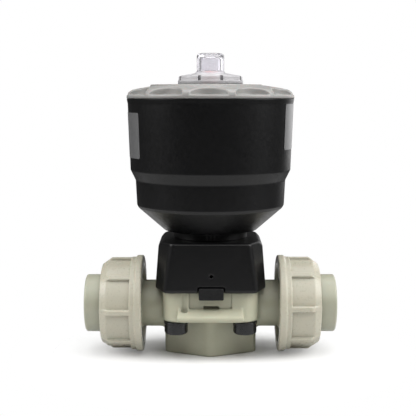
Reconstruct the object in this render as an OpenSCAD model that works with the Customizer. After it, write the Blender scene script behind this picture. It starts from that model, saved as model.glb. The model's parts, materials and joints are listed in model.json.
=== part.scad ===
// Weir-type diaphragm valve with true-union socket ends and a spring-closed air actuator.
// Millimetres, +Z up. The origin is the centre of the foot's mounting face. The pipe runs along X,
// the front faces -Y, and the valve is drawn closed: springs long, diaphragm down on the weir.

/* [Valve body] */
// Length over both union ends
overall_length = 150.2; // [150:0.2:155]
// Height of the pipe axis above the foot
axis_height = 29.5; // [29.2:0.1:32]
// Diameter of the flow bore
flow_bore_d = 20; // [18:0.5:21]
// Outside diameter of the pipe necks
neck_d = 28; // [27:0.5:28.5]
// Width of the body flange along the pipe
flange_w = 56; // [54:0.1:57]
// Depth of the body flange across the pipe
flange_d = 54.2; // [53:0.1:56]
// Thickness of the body flange
flange_t = 18.2; // [17:0.1:19]
// Corner radius of the body flange
flange_corner_r = 9.5; // [6:0.5:12]
// Spacing of the body screws, both ways
screw_spacing = 40.4; // [40:0.1:41]
// Width of the foot along the pipe
foot_w = 55; // [46:0.1:56]
// Depth of the foot across the pipe
foot_d = 34.4; // [30:0.1:36]
// Spacing of the threaded inserts in the foot
insert_spacing = 25; // [24:0.5:26]

/* [Unions] */
// Outside diameter of the nut's lip
nut_lip_d = 57.8; // [57:0.1:58]
// Outside diameter of the nut over its ribs
nut_d = 55.9; // [55.5:0.1:56.5]
// Number of grip ribs on a nut
nut_ribs = 8; // [6:1:12]
// Width of a grip rib
nut_rib_w = 3; // [2:0.25:4]
// Height of a grip rib
nut_rib_h = 1.95; // [1:0.05:2]
// Rest angle of the left nut about the pipe
left_nut_angle = 1; // [-22:0.5:22]
// Rest angle of the right nut about the pipe
right_nut_angle = -3.5; // [-22:0.5:22]
// Outside diameter of the socket end
tail_d = 34.6; // [34:0.1:36]
// Inside diameter of the pipe socket
socket_d = 24.5; // [24:0.1:25.3]
// Depth of the pipe socket
socket_depth = 17; // [16:0.5:17]

/* [Bonnet] */
// Width of the bonnet along the pipe
bonnet_w = 65; // [64:0.1:66]
// Depth of the bonnet across the pipe
bonnet_d = 64; // [63:0.1:66]
// Height of the bonnet
bonnet_h = 28.9; // [28.9:0.1:29.2]
// Width of the diaphragm's identification tab
tab_w = 14.4; // [10:0.2:16]

/* [Actuator] */
// Outside diameter at the top of the housing
housing_d = 99.1; // [98.8:0.1:100]
// Height of the housing from its cone's foot to its rim
housing_h = 78; // [78:0.1:80]
// Inside diameter of the cylinder
cylinder_d = 91.6; // [91.2:0.1:91.8]
// Travel of the stem from closed to open
stroke = 8.5; // [6:0.1:8.8]
// Wire diameter of the outer spring
outer_wire = 4.5; // [3.5:0.1:4.6]
// Turns of the outer spring
outer_turns = 7; // [5:0.5:9]
// Wire diameter of the inner spring
inner_wire = 3.2; // [2.5:0.1:3.2]
// Turns of the inner spring
inner_turns = 9; // [6:0.5:11]

/* [Cover and indicator] */
// Outside diameter of the top cover
cover_d = 99.4; // [99.2:0.1:101]
// Number of grip scallops round the cover
scallops = 12; // [8:1:16]
// Outside diameter of the clear cap's tube
cap_d = 16.2; // [16:0.1:18]
// Angle between the two slots in each quarter of the clear cap's crown
cap_slot_gap = 50; // [30:1:60]
// Diameter of the position indicator rod
indicator_d = 9; // [8:0.1:9]

/* [Hidden] */
$fn = 96;

// Working gaps: between parts that sit together, and round the stem where it slides.
snug = 0.02;
slip = 0.05;
// Length by which a cutter passes the face it opens.
past = 1;

// Heights up the valve.
flange_bottom = axis_height - 6.3;
flange_top = flange_bottom + flange_t;
diaphragm_t = 3;
bonnet_seat = flange_top + diaphragm_t;
bonnet_top = flange_top + bonnet_h;
housing_foot = bonnet_top + 4.7;
housing_floor = housing_foot + 3;
housing_top = housing_foot + housing_h;

// Flow passage: straight bores, then two slanted ones that meet a spherical bowl over the weir.
bore_r = flow_bore_d / 2;
neck_r = neck_d / 2;
throat_r = 8.5;
slant_r = 8;
slant_angle = 40;
bend_x = 17.5;
bowl_r = 19.55;
bowl_z = flange_top + 9.65;

// Union joint, with x measured from the valve's centre.
half_length = overall_length / 2;
end_face_x = half_length - 19.1;
collar_x = end_face_x - 12;
nut_inner_x = end_face_x - 15.5;
nut_outer_x = end_face_x + 9.2;
thread_pitch = 2.309;
thread_root_r = 19.5;
thread_crest_r = 20.85;
nut_thread_root_r = 21;
nut_thread_crest_r = 19.75;
ridge_base = 0.9;
ridge_crest = 0.25;
union_collar_r = 19.3;
tail_r = tail_d / 2;
seal_ring_r = 14.5;
seal_cord_r = 1.25;
seal_groove_depth = 2.6;

// Fasteners.
screw_at = screw_spacing / 2;
screw_r = 3;
screw_head_r = 5;
screw_head_h = 5;
washer_t = 1.2;
washer_r = 5.4;
screw_cap_r = 6.9;
screw_cap_h = 8;
nut_flats = 10;
nut_t = 5;
bonnet_nut_z = flange_top + 9;
housing_screw_at = 17.5;
insert_r = 4.2;
insert_thread_r = 2.5;
insert_h = 10;

// Stem train.
stem_r = 5;
thread_end_r = 4;
compressor_r = 15.6;
diaphragm_r = 24.3;
tab_x = 0.4;
dome_r = bowl_r - slip;
dome_t = 2.4;
boss_r = 6;
boss_top = bowl_z - 14.55;
stud_head_z = boss_top - 2.8;
stud_head_t = 1.6;
stud_r = 2.5;
stem_foot = bowl_z - 6.95;
compressor_top = bowl_z + 0.45;
pin_r = 1.5;
pin_z = bowl_z - 3.05;
piston_foot = housing_floor + 3;
spring_seat = piston_foot + 3.5;
hub_top = piston_foot + 13;
washer_top = hub_top + 1.6;
stem_shoulder = washer_top + 7.9;
stem_top = stem_shoulder + 6;
rim_bottom = housing_foot + 38.5;
rim_top = rim_bottom + 12.5;
cylinder_r = cylinder_d / 2;
piston_r = cylinder_r - 0.2;
seal_z = rim_bottom + 3;
seal_h = 3.8;
band_z = rim_bottom + 8.3;
band_h = 2.6;

// Top end.
ceiling = housing_top + 4.4;
cover_top = housing_top + 8.4;
cap_recess_r = 14;
cap_recess_z = cover_top - 2.5;
cap_top = cover_top + 18;
indicator_r = indicator_d / 2;
indicator_tip = cover_top + 5.6;

// Outer wall of the housing's upper cylinder, which widens a little towards the top.
wall_foot_r = housing_d / 2 - 1.78;
wall_foot_z = housing_foot + 38.5;
function wall_r(z) = wall_foot_r + (z - wall_foot_z) * 0.0353;

// Points of an arc about [cx, cy].
function arc(cx, cy, r, from, to, steps = 8) =
    [for (i = [0:steps]) let (a = from + (to - from) * i / steps) [cx + r * cos(a), cy + r * sin(a)]];

// Points of the rounding of corner p, between neighbours a and b.
function corner(a, p, b, r, steps) =
    let (
        u = (a - p) / norm(a - p),
        v = (b - p) / norm(b - p),
        half = acos(u * v) / 2,
        c = p + (u + v) / norm(u + v) * r / sin(half),
        s = p + u * r / tan(half) - c,
        e = p + v * r / tan(half) - c,
        from = atan2(s.y, s.x),
        turn = atan2(s.x * e.y - s.y * e.x, s * e)
    )
    arc(c.x, c.y, r, from, from + turn, steps);

// A polygon with every corner rounded by its own radius.
function rounded(points, radii, steps = 6) =
    let (n = len(points))
    [for (i = [0:n - 1])
        each corner(points[(i + n - 1) % n], points[i], points[(i + 1) % n], radii[i], steps)];

function rounded_rectangle(w, d, r) =
    rounded([[w / 2, -d / 2], [w / 2, d / 2], [-w / 2, d / 2], [-w / 2, -d / 2]], [r, r, r, r]);

// Ridges of a ring thread as [radius, x] points, starting at x.
function ridges(x, count, root_r, crest_r) =
    [for (i = [0:count - 1]) let (m = x + i * thread_pitch)
        each [[root_r, m - ridge_base], [crest_r, m - ridge_crest], [crest_r, m + ridge_crest],
            [root_r, m + ridge_base]]];

// Puts children, drawn about Z, on the pipe axis with their Z along +X.
module on_pipe() {
    translate([0, 0, axis_height]) rotate([0, 90, 0]) children();
}

// A solid turned about Z from [radius, height] points.
module turned(points) {
    rotate_extrude() polygon(points);
}

// A solid through closed outlines of equal length, given as [height, points], lowest first.
module lofted(outlines) {
    n = len(outlines[0][1]);
    last = (len(outlines) - 1) * n;
    walls = [for (i = [0:len(outlines) - 2], k = [0:n - 1])
        let (a = i * n + k, b = i * n + (k + 1) % n)
        each [[a, a + n, b], [b, a + n, b + n]]];
    ends = [[for (k = [0:n - 1]) k], [for (k = [n - 1:-1:0]) last + k]];
    polyhedron([for (o = outlines, p = o[1]) [p.x, p.y, o[0]]], concat(walls, ends));
}

module ring(z, h, r_in, r_out) {
    translate([0, 0, z]) difference() {
        cylinder(r = r_out, h = h);
        translate([0, 0, -past]) cylinder(r = r_in, h = h + 2 * past);
    }
}

module o_ring(z, ring_r, cord_r) {
    translate([0, 0, z]) rotate_extrude() translate([ring_r, 0]) circle(r = cord_r, $fn = 48);
}

module at_body_screws() {
    for (x = [-screw_at, screw_at], y = [-screw_at, screw_at]) translate([x, y, 0]) children();
}

module at_housing_screws() {
    for (a = [45:90:315]) rotate([0, 0, a]) translate([housing_screw_at, 0, 0]) children();
}

module hex_prism(flats, h) {
    cylinder(r = flats / 2 / cos(30), h = h, $fn = 6);
}

// ---- Valve body ----

foot_outline = rounded(
    [[foot_w / 2, -3.9], [foot_w / 2, 3.9], [0, foot_d / 2], [-foot_w / 2, 3.9], [-foot_w / 2, -3.9],
        [0, -foot_d / 2]],
    [4, 4, 8, 4, 4, 8]);

// Threaded end of the body, drawn for the +X side.
module body_end() {
    on_pipe() turned(concat(
        [[0, collar_x - 4], [thread_root_r, collar_x]],
        ridges(collar_x + 1.8, 5, thread_root_r, thread_crest_r),
        [[thread_root_r - 0.2, end_face_x], [0, end_face_x]]));
}

// Flow passage of the +X half.
module half_waterway() {
    on_pipe() turned([[0, bend_x], [throat_r, bend_x], [throat_r, bend_x + 4.5], [bore_r, bend_x + 14.5],
        [bore_r, end_face_x + past], [0, end_face_x + past]]);
    translate([bend_x, 0, axis_height]) {
        sphere(r = throat_r + 0.1);
        rotate([0, slant_angle - 90, 0]) cylinder(r = slant_r, h = 20);
    }
    on_pipe() ring(end_face_x - seal_groove_depth, seal_groove_depth + past, seal_ring_r - 2.1,
        seal_ring_r + 2.1);
}

// Shelf along the front of the flange, sloping outwards, with ends that lean inwards.
module front_shelf() {
    intersection() {
        translate([-21, 0, 0]) rotate([90, 0, 90]) linear_extrude(42) polygon([
            [-25, flange_top - 8.8], [-27.1, flange_top - 9.3], [-33, flange_top - 13.8],
            [-33, flange_top - 15.2], [-31.8, flange_top - 16.1], [-25, flange_top - 16.1]]);
        translate([0, -20, 0]) rotate([90, 0, 0]) linear_extrude(20) polygon([
            [-19.6, flange_top - 16.5], [19.6, flange_top - 16.5],
            [18.5, flange_top - 8.5], [-18.5, flange_top - 8.5]]);
    }
}

module valve_body() {
    color([0.62, 0.61, 0.53]) difference() {
        union() {
            translate([0, 0, flange_bottom]) linear_extrude(flange_t)
                polygon(rounded_rectangle(flange_w, flange_d, flange_corner_r));
            linear_extrude(axis_height) polygon(foot_outline);
            front_shelf();
            on_pipe() cylinder(r = neck_r, h = 2 * collar_x, center = true);
            body_end();
            mirror([1, 0, 0]) body_end();
        }
        translate([-flange_w / 2, -flange_d / 2, flange_top]) cube([flange_w, flange_d, 6]);
        half_waterway();
        mirror([1, 0, 0]) half_waterway();
        translate([0, 0, bowl_z]) sphere(r = bowl_r, $fn = 128);
        at_body_screws() translate([0, 0, flange_bottom - past])
            cylinder(r = screw_r + 0.4, h = flange_t + 2 * past);
        for (x = [-insert_spacing / 2, insert_spacing / 2]) translate([x, 0, -past])
            cylinder(r = insert_r + snug, h = insert_h + past + snug);
        // shallow pocket behind the diaphragm's tab, with a slit at its foot
        translate([-12.3, -flange_d / 2 - past, flange_top - 9.9]) cube([24.6, past + 0.8, 11]);
        translate([tab_x - 4.5, -flange_d / 2 - past, flange_top - 10.2]) cube([9, past + 3.2, 1.7]);
        // locating groove down the front, left of the middle
        translate([-15, -28.3, flange_top - 10.4]) {
            sphere(r = 1.9, $fn = 32);
            cylinder(r = 1.9, h = 12, $fn = 32);
        }
    }
}

module foot_inserts() {
    color("goldenrod") for (x = [-insert_spacing / 2, insert_spacing / 2]) translate([x, 0, 0])
        ring(0, insert_h, insert_thread_r, insert_r);
}

// ---- Unions ----

module union_end() {
    on_pipe() turned([
        [bore_r, end_face_x + slip], [union_collar_r, end_face_x + slip],
        [union_collar_r, end_face_x + 4.4], [tail_r, end_face_x + 4.4], [tail_r, half_length - 0.8],
        [tail_r - 0.8, half_length], [socket_d / 2 + 0.6, half_length],
        [socket_d / 2, half_length - 0.6], [socket_d / 2, half_length - socket_depth],
        [bore_r, half_length - socket_depth]]);
}

module left_union_end() {
    color([0.66, 0.68, 0.60]) mirror([1, 0, 0]) union_end();
}

module right_union_end() {
    color([0.66, 0.68, 0.60]) union_end();
}

module union_seal() {
    on_pipe() o_ring(end_face_x - seal_cord_r, seal_ring_r, seal_cord_r - 0.01);
}

module left_union_seal() {
    color([0.1, 0.1, 0.1]) mirror([1, 0, 0]) union_seal();
}

module right_union_seal() {
    color([0.1, 0.1, 0.1]) union_seal();
}

// Nut with an inward lip that holds the union end, ring threads, an outer lip and grip ribs.
module union_nut() {
    lip_r = nut_lip_d / 2;
    rib_r = nut_d / 2;
    panel_r = rib_r - nut_rib_h;
    rib_angle = 2 * asin(nut_rib_w / 2 / rib_r);
    panel_angle = 360 / nut_ribs - rib_angle;
    difference() {
        turned(concat(
            [[23.6, nut_inner_x], [lip_r - 0.6, nut_inner_x], [lip_r, nut_inner_x + 0.6],
                [lip_r, nut_inner_x + 3.2], [rib_r, nut_inner_x + 4.8], [rib_r, nut_outer_x - 5.8],
                [rib_r - 4.35, nut_outer_x], [tail_r + 0.26, nut_outer_x],
                [tail_r + 0.26, end_face_x + 4.6], [nut_thread_root_r + 0.2, end_face_x + 4.6]],
            [for (i = [3:-1:0]) let (m = collar_x + 1.8 + (i + 0.5) * thread_pitch)
                each [[nut_thread_root_r, m + ridge_base], [nut_thread_crest_r, m + ridge_crest],
                    [nut_thread_crest_r, m - ridge_crest], [nut_thread_root_r, m - ridge_base]]],
            [[nut_thread_root_r, nut_inner_x + 3.9]]));
        for (i = [0:nut_ribs - 1]) rotate([0, 0, i * 360 / nut_ribs + rib_angle / 2])
            translate([0, 0, nut_inner_x + 7]) rotate_extrude(angle = panel_angle)
                translate([panel_r, 0]) square([3, nut_outer_x - nut_inner_x]);
    }
}

module left_union_nut() {
    color([0.68, 0.64, 0.58]) translate([0, 0, axis_height]) rotate([left_nut_angle, 0, 0])
        rotate([0, -90, 0]) union_nut();
}

module right_union_nut() {
    color([0.68, 0.64, 0.58]) translate([0, 0, axis_height]) rotate([right_nut_angle, 0, 0])
        rotate([0, 90, 0]) union_nut();
}

// ---- Body fasteners ----

module body_screws() {
    head_top = flange_bottom - washer_t;
    color("silver") at_body_screws() difference() {
        union() {
            translate([0, 0, head_top - screw_head_h]) cylinder(r = screw_head_r, h = screw_head_h);
            translate([0, 0, head_top - past])
                cylinder(r = screw_r, h = bonnet_nut_z + nut_t + past - head_top);
        }
        translate([0, 0, head_top - screw_head_h - past]) hex_prism(5, 3.5);
    }
}

module screw_washers() {
    color("silver") at_body_screws() ring(flange_bottom - washer_t, washer_t, screw_r + 0.2, washer_r);
}

module bonnet_nuts() {
    color("silver") at_body_screws() translate([0, 0, bonnet_nut_z]) difference() {
        hex_prism(nut_flats, nut_t);
        translate([0, 0, -past]) cylinder(r = screw_r + slip, h = nut_t + 2 * past);
    }
}

module screw_caps() {
    foot = flange_bottom - screw_cap_h;
    lip_r = screw_cap_r + 0.4;
    color([0.13, 0.13, 0.14]) at_body_screws() turned(concat(
        [[0, foot]], arc(screw_cap_r - 3, foot + 3, 3, -90, 0),
        [[screw_cap_r, flange_bottom - 1.7], [lip_r, flange_bottom - 1.3], [lip_r, flange_bottom],
            [washer_r + 0.1, flange_bottom], [washer_r + 0.1, foot + 1.7], [0, foot + 1.7]]));
}

// ---- Diaphragm ----

// Clamped rim, identification tab, and a cap domed down onto the weir round the stud's head.
module diaphragm() {
    color([0.12, 0.12, 0.13]) difference() {
        union() {
            translate([0, 0, flange_top]) cylinder(r = diaphragm_r, h = diaphragm_t);
            intersection() {
                translate([0, 0, bowl_z]) sphere(r = dome_r, $fn = 128);
                translate([0, 0, bowl_z - dome_r - past])
                    cylinder(r = 18, h = bonnet_seat - bowl_z + dome_r + past);
            }
            translate([tab_x - tab_w / 2, -30, flange_top]) cube([tab_w, 12, diaphragm_t]);
            translate([tab_x - tab_w / 2, -33.2, flange_top - 3.7]) cube([tab_w, 5.2, 6.8]);
        }
        difference() {
            translate([0, 0, bowl_z]) sphere(r = dome_r - dome_t, $fn = 128);
            translate([0, 0, bowl_z - dome_r]) cylinder(r = boss_r, h = boss_top - bowl_z + dome_r);
        }
        translate([0, 0, stud_head_z - snug]) cylinder(r = stud_r + 1.5 + snug, h = stud_head_t + 2 * snug);
        translate([0, 0, stud_head_z]) cylinder(r = stud_r + snug, h = 5);
    }
}

// ---- Bonnet ----

// Outline of the bonnet, with its corners cut off on the slant, drawn in by inset all round and by
// inset_x more at its ends. At lean 0 it is the outline of the foot, at lean 1 of the narrower top.
function bonnet_outline(lean, inset, inset_x = 0) =
    let (
        x = bonnet_w / 2 - 2.1 * lean - inset - inset_x,
        y = bonnet_d / 2 - lean - inset,
        cut_x = bonnet_w / 2 - 5.5 - 4.25 * lean - inset,
        cut_y = bonnet_d / 2 - 15 - 0.5 * lean - inset / 2
    )
    rounded([[x, -cut_y], [x, cut_y], [cut_x, y], [-cut_x, y], [-x, cut_y], [-x, -cut_y], [-cut_x, -y],
        [cut_x, -y]], [3.5, 3.5, 3.5, 3.5, 3.5, 3.5, 3.5, 3.5], 3);

module bonnet_block() {
    lofted([
        [flange_top, bonnet_outline(0, 0.9)], [flange_top + 1.1, bonnet_outline(0.04, 0)],
        [bonnet_top - 2.5, bonnet_outline(0.95, 0)], [bonnet_top - 1.2, bonnet_outline(1, 0, 1)],
        [bonnet_top, bonnet_outline(1, 1.1, 1.1)]]);
}

module bonnet() {
    cavity_top = compressor_top + stroke + 0.5;
    color([0.13, 0.13, 0.135]) difference() {
        bonnet_block();
        translate([0, 0, flange_top - past]) cylinder(r = diaphragm_r + 0.2, h = diaphragm_t + past);
        translate([0, 0, bonnet_seat - past]) cylinder(r = compressor_r + 0.9, h = cavity_top - bonnet_seat + past);
        translate([tab_x - tab_w / 2 - 0.2, -bonnet_d / 2 - past, flange_top - past])
            cube([tab_w + 0.4, bonnet_d / 2 - 15, diaphragm_t + past + 0.2]);
        translate([0, 0, cavity_top - past]) cylinder(r = 8 + snug, h = 12);
        translate([0, 0, bonnet_top - 3.8]) cylinder(r = 14 + snug, h = 6);
        at_housing_screws() translate([0, 0, bonnet_top - 8.8]) cylinder(r = 2 + snug, h = 12);
        at_body_screws() {
            translate([0, 0, flange_top - past]) cylinder(r = screw_r + 0.3, h = 17);
            translate([0, 0, bonnet_nut_z - snug]) hex_prism(nut_flats + 2 * snug, nut_t + 2 * snug);
        }
        // tell-tale hole in the front wall
        translate([tab_x, -16, flange_top + 10]) rotate([90, 0, 0]) cylinder(r = 1, h = 20);
        // clearance over the pipe necks
        for (side = [0, 1]) mirror([side, 0, 0]) translate([flange_w / 2 - 0.1, 0, 0]) on_pipe()
            cylinder(r = neck_r + 0.4, h = 10);
    }
}

module stem_bush() {
    color([0.85, 0.83, 0.76]) ring(bonnet_top - 9.6, 5.6, stem_r + slip, 8);
}

// ---- Actuator ----

module stem_seal() {
    color([0.1, 0.1, 0.1]) ring(housing_floor - 4.9, 2.6, stem_r + slip, 8.1);
}

module seal_retainer() {
    color("goldenrod") ring(housing_floor - 2.2, 2.2, stem_r + 0.1, 8.15);
}

module housing_screws() {
    head_bottom = housing_floor - 3.4;
    color("silver") at_housing_screws() difference() {
        union() {
            translate([0, 0, head_bottom]) cylinder(r = 3.5, h = 3);
            translate([0, 0, bonnet_top - 8.6]) cylinder(r = 2, h = head_bottom - bonnet_top + 9);
        }
        translate([0, 0, head_bottom + 1.4]) hex_prism(3, 4);
    }
}

// Turned shell: neck, cone, lower cylinder, step and the wider upper cylinder.
module housing_shell() {
    lower_r = cylinder_r - 4.5;
    turned([
        [stem_r + 0.3, bonnet_top - 3.6], [14, bonnet_top - 3.6], [14, bonnet_top], [22, bonnet_top],
        [22, housing_foot], [27.7, housing_foot], [43.1, housing_foot + 13.5],
        [44, housing_foot + 14.9], [44.7, housing_foot + 29.8], [47.7, housing_foot + 36],
        [wall_foot_r, wall_foot_z], [wall_r(housing_top - 3), housing_top - 3],
        [housing_d / 2 - 0.05, housing_top - 1], [housing_d / 2, housing_top],
        [cylinder_r, housing_top], [cylinder_r, housing_foot + 37.5], [lower_r, housing_foot + 31.5],
        [lower_r, housing_foot + 16], [26.5, housing_floor], [8.2, housing_floor],
        [8.2, housing_floor - 5], [stem_r + 0.3, housing_floor - 5]]);
}

module actuator_housing() {
    port_z = housing_foot + 22.5;
    color([0.12, 0.12, 0.125]) difference() {
        union() {
            housing_shell();
            // air port boss at the back
            translate([0, 48.2, port_z]) rotate([90, 0, 0]) cylinder(r = 7.5, h = 5.7);
            // three ribs under the cone at the front
            for (x = [-2.6, -0.5, 1.6]) translate([x, -24, bonnet_top + 0.7]) cube([1.2, 4, 4.4]);
        }
        translate([0, 49.2, port_z]) rotate([90, 0, 0]) cylinder(r = 4.4, h = 12);
        // breather of the spring chamber
        translate([0, 52, housing_top - 11]) rotate([90, 0, 0]) cylinder(r = 1, h = 10);
        at_housing_screws() {
            translate([0, 0, bonnet_top - past]) cylinder(r = 2.2, h = 10);
            translate([0, 0, housing_floor - 3.5]) cylinder(r = 3.7, h = 5);
        }
    }
}

// Label that hugs the housing over 45 degrees from the given angle, standing on foot_z.
module label(angle, foot_z) {
    label_h = 26.3;
    label_t = 0.2;
    rotate([0, 0, angle]) rotate_extrude(angle = 45) polygon([
        [wall_r(foot_z) + slip, foot_z], [wall_r(foot_z) + label_t, foot_z],
        [wall_r(foot_z + label_h) + label_t, foot_z + label_h],
        [wall_r(foot_z + label_h) + slip, foot_z + label_h]]);
}

module side_labels() {
    color([0.80, 0.80, 0.80]) {
        label(-29, housing_foot + 48.5);
        label(168, housing_foot + 43.5);
    }
}

// ---- Cover ----

module cover_shell() {
    spigot_r = cylinder_r - 0.1;
    rim_r = cover_d / 2;
    hub_foot = ceiling - 8.4;
    turned([
        [cylinder_r - 3.1, housing_top - 6.5], [spigot_r, housing_top - 6.5],
        [spigot_r, housing_top - 5.4], [spigot_r - 1.7, housing_top - 5.4],
        [spigot_r - 1.7, housing_top - 2.4], [spigot_r, housing_top - 2.4], [spigot_r, housing_top],
        [rim_r, housing_top], [rim_r - 0.1, housing_top + 1.9], [rim_r - 0.7, housing_top + 3.55],
        [rim_r - 3.1, housing_top + 5], [rim_r - 7.9, housing_top + 6],
        [rim_r - 12.6, housing_top + 6.85], [rim_r - 17, cover_top - 0.9], [0, cover_top - 0.5],
        [0, hub_foot], [9, hub_foot], [9, ceiling], [33, ceiling - 0.1], [39.4, housing_top + 3.2],
        [40.2, housing_top + 1.2], [cylinder_r - 3.1, housing_top + 0.2]]);
}

module top_cover() {
    scallop_r = 12.55;
    scallop_at = cover_d / 2 + 4.85;
    color([0.72, 0.71, 0.68]) difference() {
        union() {
            cover_shell();
            // raised pad, a little off centre
            translate([-2.5, 0, 0]) turned([[0, cover_top - 1.4], [33.1, cover_top - 1.4],
                [33.1, cover_top - 0.35], [16.6, cover_top], [0, cover_top]]);
        }
        for (i = [0:scallops - 1]) rotate([0, 0, -91 + i * 360 / scallops])
            translate([scallop_at, 0, housing_top + 1.95]) cylinder(r = scallop_r, h = 8);
        translate([0, 0, cap_recess_z]) cylinder(r = cap_recess_r, h = 4);
        translate([0, 0, housing_top - 10]) cylinder(r = indicator_r + 0.15, h = 20);
        translate([0, 0, housing_top + 0.6]) cylinder(r = indicator_r + 1.9, h = 2.4);
    }
}

module cover_seal() {
    color([0.1, 0.1, 0.1]) o_ring(housing_top - 3.9, cylinder_r - 0.9, 0.85);
}

module indicator_seal() {
    color([0.1, 0.1, 0.1]) o_ring(housing_top + 1.8, indicator_r + 0.95, 0.85);
}

module cap_seal() {
    color([0.1, 0.1, 0.1]) o_ring(cap_recess_z + 0.75, cap_recess_r - 1.4, 0.7);
}

// Clear cap: flange, slotted crown and the closed tube that shows the indicator.
module indicator_cap() {
    tube_r = cap_d / 2;
    bore = tube_r - 2.45;
    flange_r = 19.3;
    color([0.85, 0.85, 0.9, 0.5]) difference() {
        turned(concat(
            [[bore, cover_top - 1], [cap_recess_r - 0.1, cover_top - 1],
                [cap_recess_r - 0.1, cover_top], [flange_r, cover_top], [flange_r, cover_top + 2],
                [flange_r - 0.3, cover_top + 2], [flange_r - 0.5, cover_top + 4.2],
                [flange_r - 1.8, cover_top + 4.6], [tube_r + 1.2, cover_top + 6.4],
                [tube_r, cover_top + 7.2]],
            arc(tube_r - 2, cap_top - 2, 2, 0, 90),
            [[0, cap_top], [0, cap_top - 2.1]],
            arc(bore - 1.5, cap_top - 3.6, 1.5, 90, 0)));
        for (a = [45:90:315], side = [-1, 1]) rotate([0, 0, a + side * cap_slot_gap / 2])
            translate([flange_r - 2.3, -0.9, cover_top + 2]) cube([4, 1.8, 4]);
    }
}

// ---- Springs ----

// Height along a coil with one closed turn at each end; t counts turns.
function coil_z(t, turns, wire, height) =
    let (
        dead = 1.04 * wire,
        live = (height - wire - 2 * dead) / (turns - 2)
    )
    t < 1 ? t * dead : t > turns - 1 ? height - wire - (turns - t) * dead : dead + (t - 1) * live;

// Compression spring standing on foot_z, as a wire of six sides swept round the coil.
module spring(foot_z, height, coil_r, wire, turns) {
    sides = 6;
    steps = 18;
    count = turns * steps;
    points = [for (i = [0:count], k = [0:sides - 1])
        let (
            a = 360 * i / steps,
            s = 360 * (k + 0.5) / sides,
            r = coil_r + wire / 2 * cos(s),
            z = foot_z + wire / 2 + coil_z(i / steps, turns, wire, height) + wire / 2 * sin(s)
        ) [r * cos(a), r * sin(a), z]];
    walls = [for (i = [0:count - 1], k = [0:sides - 1])
        let (a = i * sides + k, b = i * sides + (k + 1) % sides)
        each [[a, a + sides, b], [b, a + sides, b + sides]]];
    ends = [[for (k = [0:sides - 1]) k], [for (k = [sides - 1:-1:0]) count * sides + k]];
    polyhedron(points, concat(walls, ends));
}

module outer_spring() {
    color("slategray") spring(spring_seat + slip, ceiling - spring_seat - 0.3, 22, outer_wire, outer_turns);
}

module inner_spring() {
    color("slategray") spring(spring_seat + slip, ceiling - spring_seat - 0.3, 14.5, inner_wire, inner_turns);
}

// ---- Stem train, the moving parts ----

module stem() {
    color("silver") difference() {
        turned([[0, stem_foot], [stem_r, stem_foot], [stem_r, piston_foot], [thread_end_r, piston_foot],
            [thread_end_r, stem_shoulder], [stud_r, stem_shoulder], [stud_r, stem_top], [0, stem_top]]);
        translate([0, 10, pin_z]) rotate([90, 0, 0]) cylinder(r = pin_r + snug, h = 20);
    }
}

module diaphragm_stud() {
    color("silver") {
        translate([0, 0, stud_head_z]) cylinder(r = stud_r + 1.5, h = stud_head_t);
        translate([0, 0, stud_head_z + stud_head_t / 2])
            cylinder(r = stud_r, h = stem_foot - 0.6 - stud_head_z - stud_head_t / 2);
    }
}

module compressor() {
    color([0.25, 0.25, 0.27]) difference() {
        intersection() {
            translate([0, 0, bowl_z]) sphere(r = dome_r - dome_t - 0.1, $fn = 128);
            union() {
                translate([0, 0, bowl_z - dome_r]) cylinder(r = compressor_r, h = dome_r - 10);
                translate([0, 0, bowl_z - dome_r]) cylinder(r = 8, h = compressor_top - bowl_z + dome_r);
                for (a = [0, 90]) rotate([0, 0, a]) translate([-compressor_r, -1.5, bowl_z - dome_r])
                    cube([2 * compressor_r, 3, dome_r - 1.5]);
            }
        }
        translate([0, 0, stem_foot - 0.1]) cylinder(r = stem_r + snug, h = 20);
        translate([0, 0, boss_top - 2]) cylinder(r = stud_r + slip, h = 12);
        translate([0, 0, bowl_z - dome_r]) cylinder(r = boss_r + 0.2, h = boss_top + 0.1 - bowl_z + dome_r);
        translate([0, 10, pin_z]) rotate([90, 0, 0]) cylinder(r = pin_r + snug, h = 20);
    }
}

module compressor_pin() {
    color("silver") translate([0, 7.8, pin_z]) rotate([90, 0, 0]) cylinder(r = pin_r, h = 15.6);
}

// Cup piston: grooved rim, deep cup and a hub on the stem.
module piston() {
    color([0.30, 0.31, 0.33]) turned([
        [thread_end_r + slip, piston_foot], [26, piston_foot], [38.5, piston_foot + 11.5],
        [39.3, rim_bottom], [piston_r, rim_bottom], [piston_r, seal_z],
        [piston_r - 3.4, seal_z], [piston_r - 3.4, seal_z + seal_h], [piston_r, seal_z + seal_h],
        [piston_r, band_z], [piston_r - 1.2, band_z], [piston_r - 1.2, band_z + band_h],
        [piston_r, band_z + band_h], [piston_r, rim_top], [36.2, rim_top], [36, piston_foot + 13],
        [24.8, spring_seat], [10, spring_seat], [10, hub_top], [thread_end_r + slip, hub_top]]);
}

module piston_seal() {
    color([0.1, 0.1, 0.1]) ring(seal_z + 0.1, seal_h - 0.2, piston_r - 3.3, cylinder_r - slip);
}

module guide_band() {
    color([0.85, 0.83, 0.76]) ring(band_z + 0.1, band_h - 0.2, piston_r - 1.1, cylinder_r - slip);
}

module piston_washer() {
    color("silver") ring(hub_top, washer_top - hub_top, thread_end_r + 0.1, 8.5);
}

module piston_nut() {
    color("silver") translate([0, 0, washer_top]) difference() {
        hex_prism(13, 6.5);
        translate([0, 0, -past]) cylinder(r = thread_end_r + slip, h = 6.5 + 2 * past);
    }
}

module position_indicator() {
    tip_r = 1.5;
    color([0.78, 0.12, 0.10]) turned(concat(
        [[stud_r + snug, stem_shoulder + 0.1], [indicator_r, stem_shoulder + 0.1]],
        arc(indicator_r - tip_r, indicator_tip - tip_r, tip_r, 0, 90),
        [[0, indicator_tip], [0, stem_top + 0.3], [stud_r + snug, stem_top + 0.3]]));
}

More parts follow.
